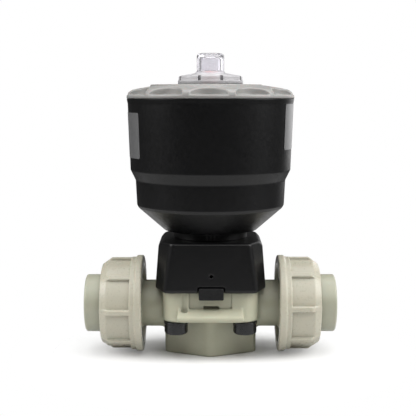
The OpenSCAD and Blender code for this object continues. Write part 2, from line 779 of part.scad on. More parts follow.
valve_body();
foot_inserts();
left_union_end();
right_union_end();
left_union_seal();
right_union_seal();
left_union_nut();
right_union_nut();
body_screws();
screw_washers();
bonnet_nuts();
screw_caps();
diaphragm();
bonnet();
stem_bush();
stem_seal();
seal_retainer();
housing_screws();
actuator_housing();
side_labels();
top_cover();
cover_seal();
indicator_seal();
indicator_cap();
cap_seal();
outer_spring();
inner_spring();
stem();
diaphragm_stud();
compressor();
compressor_pin();
piston();
piston_seal();
guide_band();
piston_washer();
piston_nut();
position_indicator();
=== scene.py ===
"""A small plastic diaphragm valve with union ends and a spring-closed air actuator, standing on its foot.

Shapes are worked in millimetres in the CAD frame (+Z up, pipe along X, front at -Y) and written to the
scene in metres. Turned parts are lathed from rounded profiles. Moulded parts are signed distance fields,
meshed by surface nets, so that every edge has the soft radius of a moulding.
"""

import json
import math

import bmesh
import bpy
import numpy as np
from mathutils import Matrix, Vector


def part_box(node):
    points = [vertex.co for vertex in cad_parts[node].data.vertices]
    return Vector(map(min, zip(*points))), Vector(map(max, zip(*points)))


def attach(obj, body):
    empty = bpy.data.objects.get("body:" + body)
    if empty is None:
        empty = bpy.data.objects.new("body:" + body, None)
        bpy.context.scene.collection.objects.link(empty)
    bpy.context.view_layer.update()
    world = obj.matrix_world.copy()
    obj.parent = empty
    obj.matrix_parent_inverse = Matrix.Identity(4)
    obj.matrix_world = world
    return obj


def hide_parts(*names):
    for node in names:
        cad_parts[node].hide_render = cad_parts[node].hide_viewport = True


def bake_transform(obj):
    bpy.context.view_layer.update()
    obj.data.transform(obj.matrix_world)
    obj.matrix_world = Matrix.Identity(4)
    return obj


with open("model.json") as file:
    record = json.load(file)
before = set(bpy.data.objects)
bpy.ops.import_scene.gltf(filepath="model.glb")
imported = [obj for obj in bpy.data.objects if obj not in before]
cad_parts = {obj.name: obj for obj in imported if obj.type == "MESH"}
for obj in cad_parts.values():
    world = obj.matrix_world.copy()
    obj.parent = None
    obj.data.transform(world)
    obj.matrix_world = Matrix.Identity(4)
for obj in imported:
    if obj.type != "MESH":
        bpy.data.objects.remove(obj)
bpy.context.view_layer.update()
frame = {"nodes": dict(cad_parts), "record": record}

MM = 0.001


def cad(node):
    """Lowest and highest corner of a CAD node in mm."""
    low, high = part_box(node)
    return [v / MM for v in low], [v / MM for v in high]


# ---------------------------------------------------------------- dimensions, in mm
# Valve body. FLANGE_HALF is half the flange's width and depth; the body screws and the foot's
# threaded inserts stand at plus and minus SCREW_AT and INSERT_AT.
BODY_LOW, BODY_HIGH = cad("valve_body")
FLANGE_TOP = cad("bonnet")[0][2]
FLANGE_BOTTOM = cad("screw_caps")[1][2]
FLANGE_HALF = (28.0, 27.1)
SCREW_AT = 20.2
INSERT_AT = 12.5
NECK_R = 14.0
END_FACE = BODY_HIGH[0]
# Flow passage: a straight bore to RISER_X, then a slanted one up to the spherical bowl over the weir.
BORE_R = 10.0
RISER_X = 17.5
BOWL_Z = FLANGE_TOP + 9.65
BOWL_R = 19.55
# Unions.
END_LOW, END_HIGH = cad("right_union_end")
AXIS = (END_LOW[2] + END_HIGH[2]) / 2
HALF_LENGTH = END_HIGH[0]
TAIL_R = 17.3
SOCKET_R = 12.25
SOCKET_DEPTH = 17.0
COLLAR_X = END_FACE - 12
THREAD_PITCH = 2.309
THREAD_START = COLLAR_X + 1.8
NUT_LIP_R = 28.9
NUT_X = (40.5, 65.2)
NUT_ANGLES = {"left": 1.0, "right": -3.5}
# Diaphragm and bonnet. The housing's spigot and the screws that hold it sit in the bonnet's top.
DIAPHRAGM_R = 24.3
TAB_X = 0.4
BONNET_TOP = cad("bonnet")[1][2]
SPIGOT_R = 14.0
HOUSING_SCREW_AT = 12.37
# Actuator.
HOUSING_TOP = cad("actuator_housing")[1][2]
HOUSING_R = cad("actuator_housing")[1][0]
HOUSING_FOOT = HOUSING_TOP - 78.0
HOUSING_FLOOR = HOUSING_FOOT + 3.0
CYLINDER_R = 45.8
PORT_Z = HOUSING_FOOT + 22.5
# The upper cylinder's outer wall starts WALL_START above the housing's foot and WALL_INSET inside the
# rim's radius, and widens by WALL_TAPER per mm.
WALL_START = 38.5
WALL_INSET = 1.78
WALL_TAPER = 0.0353
# Cover and clear cap.
COVER_R = cad("top_cover")[1][0]
COVER_TOP = HOUSING_TOP + 8.4
CAP_TOP = cad("indicator_cap")[1][2]
CAP_FLANGE_R = cad("indicator_cap")[1][0]
CAP_SLOT_HALF_GAP = 25
QUARTERS = (45, 135, 225, 315)


# ---------------------------------------------------------------- outlines and fields
def round_path(points, closed=True, steps=5):
    """Points given as (u, v) or (u, v, radius), with each corner that has a radius turned into an arc."""
    result = []
    count = len(points)
    for i, point in enumerate(points):
        u, v = point[0], point[1]
        radius = point[2] if len(point) > 2 else 0
        inner = closed or 0 < i < count - 1
        if radius <= 0 or not inner:
            result.append((u, v))
            continue
        p = Vector((u, v))
        a = Vector(points[i - 1][:2]) - p
        b = Vector(points[(i + 1) % count][:2]) - p
        half = a.angle(b) / 2
        reach = min(radius / math.tan(half), 0.49 * a.length, 0.49 * b.length)
        radius = reach * math.tan(half)
        centre = p + (a.normalized() + b.normalized()).normalized() * radius / math.sin(half)
        s = p + a.normalized() * reach - centre
        e = p + b.normalized() * reach - centre
        turn = math.atan2(s.x * e.y - s.y * e.x, s.dot(e))
        first = math.atan2(s.y, s.x)
        for k in range(steps + 1):
            angle = first + turn * k / steps
            result.append((centre.x + radius * math.cos(angle), centre.y + radius * math.sin(angle)))
    return result


class Outline:
    """Signed distance to a closed outline, negative inside, read from a fine table."""

    def __init__(self, points, pitch=0.1, margin=2.5):
        loop = np.array(round_path(points), float)
        self.low = loop.min(0) - margin
        size = np.ceil((loop.max(0) + margin - self.low) / pitch).astype(int) + 1
        self.pitch = pitch
        self.size = size
        ticks = [self.low[k] + pitch * np.arange(size[k]) for k in (0, 1)]
        u, v = np.meshgrid(*ticks, indexing="ij")
        nearest = np.full(u.shape, 1e9)
        inside = np.zeros(u.shape, bool)
        for (au, av), (bu, bv) in zip(loop, np.roll(loop, -1, 0)):
            du, dv = bu - au, bv - av
            length = du * du + dv * dv
            if length < 1e-12:
                continue
            t = np.clip(((u - au) * du + (v - av) * dv) / length, 0, 1)
            nearest = np.minimum(nearest, (u - au - t * du) ** 2 + (v - av - t * dv) ** 2)
            if dv != 0:
                crosses = (av > v) != (bv > v)
                inside ^= crosses & (u < au + (v - av) * du / dv)
        self.table = np.where(inside, -1, 1) * np.sqrt(nearest)

    def __call__(self, u, v):
        place = []
        away = 0
        for k, w in enumerate((u, v)):
            top = self.low[k] + (self.size[k] - 1) * self.pitch
            held = np.clip(w, self.low[k], top)
            away = away + (w - held) ** 2
            place.append((held - self.low[k]) / self.pitch)
        i = np.minimum(place[0].astype(int), self.size[0] - 2)
        j = np.minimum(place[1].astype(int), self.size[1] - 2)
        s, t = place[0] - i, place[1] - j
        table = self.table
        value = (table[i, j] * (1 - s) + table[i + 1, j] * s) * (1 - t)
        value += (table[i, j + 1] * (1 - s) + table[i + 1, j + 1] * s) * t
        return value + np.sqrt(away)


def smooth_min(a, b, k):
    """Joins two fields with a fillet about k wide."""
    h = np.clip(0.5 + 0.5 * (b - a) / k, 0, 1)
    return b + (a - b) * h - k * h * (1 - h)


def cut(body, tool, k=0.4):
    """Takes tool out of body, with edges rounded over about k."""
    return -smooth_min(-body, tool, k)


def rounded_rect(u, v, half_u, half_v, r):
    """Field of a rectangle about the origin with corners of radius r."""
    qu, qv = np.abs(u) - half_u + r, np.abs(v) - half_v + r
    outside = np.hypot(np.maximum(qu, 0), np.maximum(qv, 0))
    return outside + np.minimum(np.maximum(qu, qv), 0) - r


def slab(flat, h, low, high, r=0.0):
    """A flat shape's field carried along h from low to high, with edges of radius r."""
    across = flat + r
    along = np.abs(h - (low + high) / 2) - (high - low) / 2 + r
    outside = np.hypot(np.maximum(across, 0), np.maximum(along, 0))
    return outside + np.minimum(np.maximum(across, along), 0) - r


def surface_net(field, low, high, step):
    """Closed quad mesh of the surface where field is 0: points in mm, and faces.

    Each cell that the surface crosses gets one point, the mean of the crossings on its edges, and each
    crossed edge gets the quad of its four cells. The points are then drawn onto the surface.
    """
    ticks = [np.arange(a - 1.5 * step, b + 2.5 * step, step) for a, b in zip(low, high)]
    shape = [len(t) for t in ticks]
    grid = np.stack(np.meshgrid(*ticks, indexing="ij"), -1)
    value = np.concatenate([field(layer.reshape(-1, 3)) for layer in np.array_split(grid, 8)])
    value = value.reshape(shape)
    cells = [n - 1 for n in shape]
    total, count, edges = np.zeros(cells + [3]), np.zeros(cells), []
    for axis in range(3):
        near, far = [slice(None)] * 3, [slice(None)] * 3
        near[axis], far[axis] = slice(0, -1), slice(1, None)
        a, b = value[tuple(near)], value[tuple(far)]
        crossing = (a < 0) != (b < 0)
        t = np.where(crossing, a / np.where(crossing, a - b, 1), 0)[..., None]
        point = grid[tuple(near)] * (1 - t) + grid[tuple(far)] * t
        point[~crossing] = 0
        u, v = [k for k in range(3) if k != axis]
        for i in (0, 1):
            for j in (0, 1):
                part = [slice(None)] * 3
                part[u], part[v] = slice(i, i + cells[u]), slice(j, j + cells[v])
                total += point[tuple(part)]
                count += crossing[tuple(part)]
        edges.append((crossing, a < 0))
    used = count > 0
    index = np.full(cells, -1)
    index[used] = np.arange(used.sum())
    points = total[used] / count[used][:, None]
    faces = []
    for axis, (crossing, inside) in enumerate(edges):
        u, v = (axis + 1) % 3, (axis + 2) % 3
        at = np.argwhere(crossing)
        corners = []
        for back_u, back_v in ((1, 1), (0, 1), (0, 0), (1, 0)):
            cell = at.copy()
            cell[:, u] -= back_u
            cell[:, v] -= back_v
            corners.append(index[tuple(cell.T)])
        quads = np.stack(corners, 1)
        flip = ~inside[tuple(at.T)]
        quads[flip] = quads[flip][:, ::-1]
        faces.append(quads)
    for _ in range(3):
        distance = field(points)
        slope = np.stack([field(points + d) - field(points - d) for d in np.eye(3) * 0.05], 1) / 0.1
        steep = np.maximum((slope ** 2).sum(1), 0.3)
        points -= (np.clip(distance, -step, step) / steep)[:, None] * slope
    return points, np.concatenate(faces)


# ---------------------------------------------------------------- objects
def add_piece(name, points, faces, material, sharp_angle=None):
    """A smooth mesh object from points in mm, with edges sharper than sharp_angle degrees kept sharp."""
    mesh = bpy.data.meshes.new(name)
    faces = faces if isinstance(faces, list) else faces.tolist()
    mesh.from_pydata((np.asarray(points, float) * MM).tolist(), [], faces)
    mesh.validate()
    mesh.polygons.foreach_set("use_smooth", [True] * len(mesh.polygons))
    if sharp_angle is not None:
        mesh.set_sharp_from_angle(angle=math.radians(sharp_angle))
    mesh.materials.append(material)
    piece = bpy.data.objects.new(name, mesh)
    bpy.context.scene.collection.objects.link(piece)
    return piece


def lathe(profile, segments=160, closed=True):
    """Points and faces of a profile of (radius, height, rounding) turned about Z."""
    path = round_path(profile, closed)
    points, rings = [], []
    angles = np.linspace(0, 2 * math.pi, segments, endpoint=False)
    for r, h in path:
        if r < 1e-6:
            rings.append([len(points)])
            points.append((0.0, 0.0, h))
        else:
            rings.append(list(range(len(points), len(points) + segments)))
            points.extend((r * math.cos(a), r * math.sin(a), h) for a in angles)
    faces = []
    pairs = list(zip(rings, rings[1:] + rings[:1])) if closed else list(zip(rings, rings[1:]))
    for lower, upper in pairs:
        for i in range(segments):
            j = (i + 1) % segments
            if len(lower) == 1 and len(upper) == 1:
                break
            if len(lower) == 1:
                faces.append((lower[0], upper[j], upper[i]))
            elif len(upper) == 1:
                faces.append((lower[i], lower[j], upper[0]))
            else:
                faces.append((lower[i], lower[j], upper[j], upper[i]))
    return np.array(points), faces


def box_corners(us, vs, ws):
    """Corners of a box in the order that BOX_FACES joins."""
    return [(u, v, w) for u in us for v in vs for w in ws]


BOX_FACES = [(0, 1, 3, 2), (4, 5, 7, 6), (0, 1, 5, 4), (2, 3, 7, 6), (0, 2, 6, 4), (1, 3, 7, 5)]


def outward(piece):
    """Turns all normals of a closed mesh outwards."""
    work = bmesh.new()
    work.from_mesh(piece.data)
    bmesh.ops.recalc_face_normals(work, faces=work.faces)
    work.to_mesh(piece.data)
    work.free()
    return piece


def combine(piece, other, operation):
    """Boolean of two objects, applied at once; the second object is used up."""
    modifier = piece.modifiers.new("combine", "BOOLEAN")
    modifier.operation = operation
    modifier.object = other
    modifier.solver = "EXACT"
    result = bpy.data.meshes.new_from_object(piece.evaluated_get(bpy.context.evaluated_depsgraph_get()))
    piece.modifiers.clear()
    piece.data = result
    bpy.data.objects.remove(other)
    return piece


def weighted(piece):
    """Shading normals that keep flat faces flat beside small roundings."""
    modifier = piece.modifiers.new("normals", "WEIGHTED_NORMAL")
    modifier.keep_sharp = True
    return piece


def reshade(piece, sharp_angle=35):
    """Smooth shading again after booleans, with edges sharper than sharp_angle degrees kept sharp."""
    mesh = piece.data
    mesh.polygons.foreach_set("use_smooth", [True] * len(mesh.polygons))
    mesh.set_sharp_from_angle(angle=math.radians(sharp_angle))
    return weighted(piece)


def place(piece, body, slot, *nodes):
    """Hangs a piece on its body and hides the CAD nodes it stands for; its slot argument is not used."""
    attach(piece, body)
    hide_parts(*nodes)
    return piece


# ---------------------------------------------------------------- materials
class Shader:
    """A Principled material with short calls for adding and wiring nodes."""

    def __init__(self, name):
        self.material = bpy.data.materials.new(name)
        self.material.use_nodes = True
        self.tree = self.material.node_tree
        self.base = self.tree.nodes["Principled BSDF"]
        self.where = self.add("ShaderNodeTexCoord").outputs["Object"]

    def add(self, kind, options=None, **inputs):
        node = self.tree.nodes.new(kind)
        for key, value in (options or {}).items():
            setattr(node, key, value)
        for key, value in inputs.items():
            self.wire(node.inputs[key.replace("_", " ")], value)
        return node

    def wire(self, socket, value):
        if isinstance(value, bpy.types.NodeSocket):
            self.tree.links.new(value, socket)
        else:
            socket.default_value = value

    def set(self, **inputs):
        for key, value in inputs.items():
            self.wire(self.base.inputs[key.replace("_", " ")], value)
        return self

    def noise(self, size_mm, detail=3.0, roughness=0.55, stretch=None):
        """Noise from 0 to 1 whose blobs are about size_mm across."""
        where = self.where
        if stretch:
            where = self.add("ShaderNodeMapping", Vector=where, Scale=stretch).outputs[0]
        return self.add("ShaderNodeTexNoise", Vector=where, Scale=1 / (size_mm * MM), Detail=detail,
                        Roughness=roughness).outputs["Fac"]

    def span(self, value, low, high, out_low, out_high):
        """Carries value's range low to high over to out_low to out_high, held at both ends."""
        node = self.add("ShaderNodeMapRange", Value=value)
        for socket, number in zip(node.inputs[1:5], (low, high, out_low, out_high)):
            socket.default_value = number
        return node.outputs[0]

    def mix(self, factor, a, b):
        """Colour between a, at factor 0, and b, at factor 1."""
        node = self.add("ShaderNodeMix", {"data_type": "RGBA"})
        self.wire(node.inputs[0], factor)
        self.wire(node.inputs[6], a)
        self.wire(node.inputs[7], b)
        return node.outputs[2]

    def bump(self, height, strength, depth_mm, below=None):
        """Normal bumped by height, on top of the normal below if there is one."""
        node = self.add("ShaderNodeBump", Height=height, Strength=strength, Distance=depth_mm * MM)
        if below is not None:
            self.wire(node.inputs["Normal"], below)
        return node.outputs[0]

    def convexity(self):
        """Near 0.5 on flats, higher on outer edges and lower in inner corners."""
        return self.add("ShaderNodeNewGeometry").outputs["Pointiness"]

    def open_air(self, reach_mm):
        """1 in the open, lower where other surfaces come within reach_mm."""
        node = self.add("ShaderNodeAmbientOcclusion", {"samples": 8}, Distance=reach_mm * MM)
        return node.outputs["AO"]


def tint(colour, factor):
    """Colour made lighter or darker by factor, with alpha 1."""
    return (*[min(1.0, c * factor) for c in colour], 1.0)


def moulded(name, colour, roughness, mottle=0.05, grain_mm=0.35, grain=0.25, wear=0.25, corner_darkening=0.3, glow=0.0,
            shine=0.5, dust_and_shade=0.0):
    """Moulded plastic: slow colour drift, fine mould grain, polished edges and darker inner corners.

    The last argument adds painted shade: the colour darkens where other surfaces close in on it.
    """
    s = Shader(name)
    drift = s.noise(22, 4)
    blotch = s.noise(3.2, 5, 0.65)
    colour_now = s.mix(s.span(drift, 0.3, 0.7, 0, 1), tint(colour, 1 - mottle), tint(colour, 1 + mottle))
    colour_now = s.mix(s.span(blotch, 0.35, 0.75, 0, mottle * 2), colour_now, tint(colour, 0.82))
    edge = s.span(s.convexity(), 0.515, 0.60, 0, wear)
    # Wear lightens outer edges; inner corners are made darker.
    corner = s.span(s.convexity(), 0.485, 0.40, 0, corner_darkening)
    colour_now = s.mix(edge, colour_now, (*[min(1, c * 1.25 + 0.03) for c in colour], 1))
    colour_now = s.mix(corner, colour_now, tint(colour, 0.55))
    # Painted shade: the colour darkens where other surfaces come close, as if in their shadow.
    if dust_and_shade:
        open_air = s.open_air(22)
        colour_now = s.mix(s.span(open_air, 0.85, 0.3, 0, dust_and_shade), colour_now, tint(colour, 0.35))
    rough = s.span(s.noise(1.6, 4, 0.6), 0.3, 0.7, roughness - 0.06, roughness + 0.07)
    flow = s.bump(s.noise(6, 2), 0.10, 0.12)
    fine = s.bump(s.noise(grain_mm, 3, 0.7), grain, 0.03, flow)
    s.set(Base_Color=colour_now, Roughness=rough, Normal=fine, Specular_IOR_Level=shine)
    if glow:
        s.set(Subsurface_Weight=glow, Subsurface_Scale=1.2 * MM)
    return s.material


def metal(name, colour, roughness, lines_mm=0.25):
    """Turned metal with fine machining lines and slight staining."""
    s = Shader(name)
    stain = s.noise(7, 5, 0.6)
    lines = s.noise(lines_mm, 2, 0.5, (0.15, 0.15, 1.0))
    colour_now = s.mix(s.span(stain, 0.35, 0.7, 0, 0.35), (*colour, 1), tint(colour, 0.7))
    rough = s.span(lines, 0.3, 0.7, roughness - 0.07, roughness + 0.1)
    s.set(Base_Color=colour_now, Roughness=rough, Metallic=1.0, Normal=s.bump(lines, 0.25, 0.02))
    return s.material


def rubber(name):
    """Dull black rubber with a little pale dust."""
    s = Shader(name)
    dust_and_shade = s.span(s.noise(4, 5, 0.7), 0.45, 0.8, 0, 0.35)
    colour = s.mix(dust_and_shade, (0.006, 0.006, 0.0065, 1), (0.02, 0.02, 0.019, 1))
    rough = s.span(s.noise(1.2, 3), 0.3, 0.7, 0.55, 0.75)
    s.set(Base_Color=colour, Roughness=rough, Normal=s.bump(s.noise(0.3, 3, 0.7), 0.3, 0.03),
          Specular_IOR_Level=0.25)
    return s.material


def clear(name):
    """Clear moulded plastic, cloudy towards its foot, with faint flow lines and painted shade in its slots
    and other tight spots.
    """
    s = Shader(name)
    height = s.add("ShaderNodeSeparateXYZ", Vector=s.where).outputs["Z"]
    cloudy = s.span(height, (COVER_TOP + 8.5) * MM, (COVER_TOP + 5.5) * MM, 0, 1)
    haze = s.noise(5, 4, 0.6)
    flow = s.noise(3.0, 2, 0.5, (1.0, 1.0, 0.25))
    upper = s.span(haze, 0.3, 0.7, 0.04, 0.14)
    rough = s.add("ShaderNodeMix", A=upper, B=0.42)
    s.wire(rough.inputs[0], cloudy)
    pale = s.mix(haze, (0.86, 0.85, 0.88, 1), (0.78, 0.77, 0.81, 1))
    # Painted shade: the cloudy colour goes almost black where other surfaces come within 3 mm, as in the
    # slots.
    milky_and_shaded = s.mix(s.span(s.open_air(3), 0.95, 0.45, 0, 1), (0.60, 0.59, 0.60, 1), (0.10, 0.10, 0.10, 1))
    s.set(Base_Color=s.mix(cloudy, pale, milky_and_shaded), Roughness=rough.outputs[0],
          Transmission_Weight=s.span(cloudy, 0, 1, 0.93, 0.45), IOR=1.45, Normal=s.bump(flow, 0.12, 0.15))
    lamps = s.add("ShaderNodeMixShader", Fac=s.add("ShaderNodeLightPath").outputs["Is Shadow Ray"])
    s.wire(lamps.inputs[1], s.base.outputs[0])
    s.wire(lamps.inputs[2], s.add("ShaderNodeBsdfTransparent", Color=(0.9, 0.9, 0.92, 1)).outputs[0])
    s.wire(s.tree.nodes["Material Output"].inputs["Surface"], lamps.outputs[0])
    return s.material


def label_film(name):
    """Blank silver-grey film with a brushed face."""
    s = Shader(name)
    fibre = s.noise(0.5, 4, 0.6, (1.0, 1.0, 0.3))
    colour = s.mix(s.span(fibre, 0.3, 0.7, 0, 1), (0.34, 0.34, 0.344, 1), (0.42, 0.42, 0.424, 1))
    colour = s.mix(s.span(s.noise(9, 3), 0.4, 0.75, 0, 0.25), colour, (0.30, 0.30, 0.30, 1))
    s.set(Base_Color=colour, Roughness=s.span(fibre, 0.2, 0.8, 0.36, 0.48), Metallic=0.85,
          Normal=s.bump(s.noise(2.5, 2), 0.15, 0.04))
    return s.material


PAINT = {
    "body_plastic": moulded("body_plastic", (0.47, 0.465, 0.344), 0.42, glow=0.06, dust_and_shade=0.55),
    "union_plastic": moulded("union_plastic", (0.385, 0.386, 0.30), 0.36, glow=0.06, dust_and_shade=0.4),
    "nut_plastic": moulded("nut_plastic", (0.465, 0.443, 0.352), 0.30, grain=0.12, corner_darkening=0.6, glow=0.06,
                           dust_and_shade=0.3),
    "black_plastic": moulded("black_plastic", (0.004, 0.004, 0.0043), 0.36, mottle=0.12, grain=0.5,
                             wear=0.10, corner_darkening=0.2, shine=0.3),
    "black_gloss": moulded("black_gloss", (0.004, 0.004, 0.005), 0.24, mottle=0.1, grain=0.12,
                           shine=0.4),
    "dark_plastic": moulded("dark_plastic", (0.06, 0.06, 0.065), 0.45),
    "bush_plastic": moulded("bush_plastic", (0.55, 0.52, 0.43), 0.4),
    "cover_plastic": moulded("cover_plastic", (0.295, 0.288, 0.277), 0.38, glow=0.08),
    "clear_plastic": clear("clear_plastic"),
    "diaphragm_rubber": rubber("diaphragm_rubber"),
    "seal_rubber": rubber("seal_rubber"),
    "steel": metal("steel", (0.60, 0.60, 0.61), 0.3),
    "spring_steel": metal("spring_steel", (0.30, 0.31, 0.33), 0.38),
    "brass": metal("brass", (0.74, 0.56, 0.27), 0.3),
    "indicator_red": moulded("indicator_red", (0.55, 0.03, 0.025), 0.3, glow=0.05),
    "label": label_film("label"),
}


# ---------------------------------------------------------------- valve body
def union_thread(r_root, r_crest, count, first):
    """Ring thread of count ridges as (radius, x) corners, the first ridge about x = first."""
    root_half, crest_half = 0.9, 0.28
    corners = []
    for i in range(count):
        middle = first + i * THREAD_PITCH
        corners += [(r_root, middle - root_half), (r_crest, middle - crest_half),
                    (r_crest, middle + crest_half), (r_root, middle + root_half)]
    return corners


BODY_THREAD = union_thread(19.5, 20.85, 5, THREAD_START)
NUT_THREAD = union_thread(21.0, 19.75, 4, THREAD_START + THREAD_PITCH / 2)

foot_outline = Outline([(27.5, -3.9, 4), (27.5, 3.9, 4), (0, 17.2, 8), (-27.5, 3.9, 4), (-27.5, -3.9, 4),
                        (0, -17.2, 8)])
shelf_outline = Outline([(-24, FLANGE_TOP - 8.2), (-27.1, FLANGE_TOP - 9.2), (-33, FLANGE_TOP - 13.8, 0.7),
                         (-33, FLANGE_TOP - 15.2, 0.5), (-31.8, FLANGE_TOP - 16.1, 0.5),
                         (-24, FLANGE_TOP - 16.1)])
thread_outline = Outline([(10, COLLAR_X - 8), (13, COLLAR_X - 4, 1), (19.3, COLLAR_X + 0.4, 0.6)]
                         + BODY_THREAD + [(19.3, END_FACE, 0.4), (10, END_FACE)])
bore_outline = Outline([(-9, RISER_X), (8.5, RISER_X), (8.5, 22, 6), (BORE_R, 32, 6), (BORE_R, 60),
                        (-9, 60)])


def body_field(p):
    """Flange on a foot with a pipe through it, a shelf at the front, and the flow passage."""
    x, y, z = p.T
    side, rise = np.abs(x), z - AXIS
    pipe_r = np.hypot(y, rise)
    flange = slab(rounded_rect(x, y, *FLANGE_HALF, 9.5), z, FLANGE_BOTTOM, FLANGE_TOP, 0.9)
    foot = slab(foot_outline(x, y), z, 0, AXIS, 0.7)
    neck = slab(pipe_r - NECK_R, x, -COLLAR_X, COLLAR_X, 0.3)
    shelf_half = 18.5 + 0.14 * (FLANGE_TOP - 8.5 - z)
    shelf = slab(shelf_outline(y, z), x, -shelf_half, shelf_half, 0.6)
    solid = smooth_min(smooth_min(flange, neck, 2.4), foot, 3.0)
    solid = smooth_min(solid, shelf, 0.8)
    solid = smooth_min(solid, thread_outline(pipe_r, side), 0.3)
    above = slab(np.abs(x) - FLANGE_HALF[0] - 0.1, z, FLANGE_TOP, FLANGE_TOP + 20)
    solid = cut(solid, above, 0.15)
    slant = math.radians(40)
    along = (RISER_X - side) * math.cos(slant) + rise * math.sin(slant)
    across = (side - RISER_X) * math.sin(slant) + rise * math.cos(slant)
    riser = slab(np.hypot(across, y) - 8, along, 0, 26)
    bowl = np.sqrt(x * x + y * y + (z - BOWL_Z) ** 2) - BOWL_R
    bend = np.sqrt((side - RISER_X) ** 2 + y * y + rise ** 2) - 8.6
    flow = smooth_min(np.minimum(bore_outline(pipe_r, side), bend), smooth_min(riser, bowl, 1.2), 1.0)
    solid = cut(solid, flow, 0.6)
    seal_groove = slab(np.abs(pipe_r - 14.5) - 2.1, side, END_FACE - 2.6, END_FACE + 3)
    solid = cut(solid, seal_groove, 0.25)
    screws = np.hypot(side - SCREW_AT, np.abs(y) - SCREW_AT) - 3.4
    inserts = slab(np.hypot(side - INSERT_AT, y) - 4.22, z, -5, 10.02)
    notch = slab(np.hypot(x + 15, y + 28.3) - 1.9, z, FLANGE_TOP - 12.3, FLANGE_TOP + 5, 1.85)
    pocket = slab(rounded_rect(x, z - FLANGE_TOP, 12.3, 9.9, 0.6), y, -40, -26.3)
    slit = slab(rounded_rect(x - TAB_X, z - FLANGE_TOP + 9.35, 4.5, 0.85, 0.4), y, -40, -23.9)
    solid = cut(cut(solid, screws, 0.5), inserts, 0.4)
    return cut(cut(cut(solid, pocket, 0.25), slit, 0.25), notch, 0.35)


def make_valve_body():
    points, faces = surface_net(body_field, BODY_LOW, BODY_HIGH, step=0.62)
    piece = add_piece("body", points, faces, PAINT["body_plastic"])
    place(piece, "valve", "body_plastic", "valve_body")


# ---------------------------------------------------------------- unions
nut_skin = Outline([(5, NUT_X[0]), (NUT_LIP_R, NUT_X[0], 0.9), (NUT_LIP_R, 44.3, 0.8), (26.0, 45.7, 0.8),
                    (26.0, 61.3, 1.5), (23.6, NUT_X[1], 0.8), (5, NUT_X[1])])
nut_ribbed_skin = Outline([(5, NUT_X[0]), (NUT_LIP_R, NUT_X[0], 0.9), (NUT_LIP_R, 43.9, 0.8),
                           (27.95, 45.0, 0.8), (27.95, 59.4, 1.2), (23.6, NUT_X[1], 0.8),
                           (5, NUT_X[1])])
nut_hollow = Outline([(-5, 35), (24.6, 35), (23.6, 40.9, 0.6), (22.6, 43.6, 0.6)] + NUT_THREAD
                     + [(21.2, 58.2), (21.2, 60.6, 0.4), (18.1, 60.6, 0.4), (18.1, 70), (-5, 70)])


def nut_field(p):
    """The nut with its outward side towards +X."""
    x, y, z = p.T
    r = np.hypot(y, z)
    spacing = math.radians(45)
    rib_half = 1.5
    turn = (np.arctan2(z, y) + spacing / 2) % spacing - spacing / 2
    from_rib = np.abs(r * np.sin(turn))
    ribs = -smooth_min(-nut_ribbed_skin(r, x), rib_half - from_rib, 0.5)
    band = slab(nut_ribbed_skin(r, x), x, 40, 47.6, 0.5)
    skin = smooth_min(smooth_min(nut_skin(r, x), ribs, 0.4), band, 0.4)
    return cut(skin, nut_hollow(r, x), 0.35)


def make_nuts():
    points, faces = surface_net(nut_field, (NUT_X[0], -NUT_LIP_R, -NUT_LIP_R),
                                (NUT_X[1], NUT_LIP_R, NUT_LIP_R), step=0.5)
    for side, angle in NUT_ANGLES.items():
        turn = np.array(Matrix.Rotation(math.radians(angle), 3, "X"))
        placed = points @ turn.T
        around = faces
        if side == "left":
            placed = placed * (-1, 1, 1)
            around = faces[:, ::-1]
        piece = add_piece(side + "_nut", placed + (0, 0, AXIS), around, PAINT["nut_plastic"])
        place(piece, side + "_nut", "nut_plastic", side + "_union_nut")


def make_union_ends():
    foot, collar_r, collar_end = END_FACE + 0.05, 19.3, END_FACE + 4.4
    socket_floor = HALF_LENGTH - SOCKET_DEPTH
    profile = [(BORE_R, foot, 0.3), (collar_r, foot, 0.4), (collar_r, collar_end, 0.4),
               (TAIL_R, collar_end, 0.5), (TAIL_R, HALF_LENGTH, 1.3), (12.9, HALF_LENGTH, 0.5),
               (SOCKET_R, HALF_LENGTH - 0.8, 0.4), (SOCKET_R, socket_floor, 0.3),
               (BORE_R, socket_floor, 0.5)]
    points, faces = lathe(profile, 144)
    for side, sign in (("left", -1), ("right", 1)):
        placed = np.stack([sign * points[:, 2], points[:, 1], points[:, 0] + AXIS], 1)
        piece = add_piece(side + "_end", placed, faces, PAINT["union_plastic"], sharp_angle=40)
        weighted(outward(piece))
        place(piece, "valve", "union_plastic", side + "_union_end")


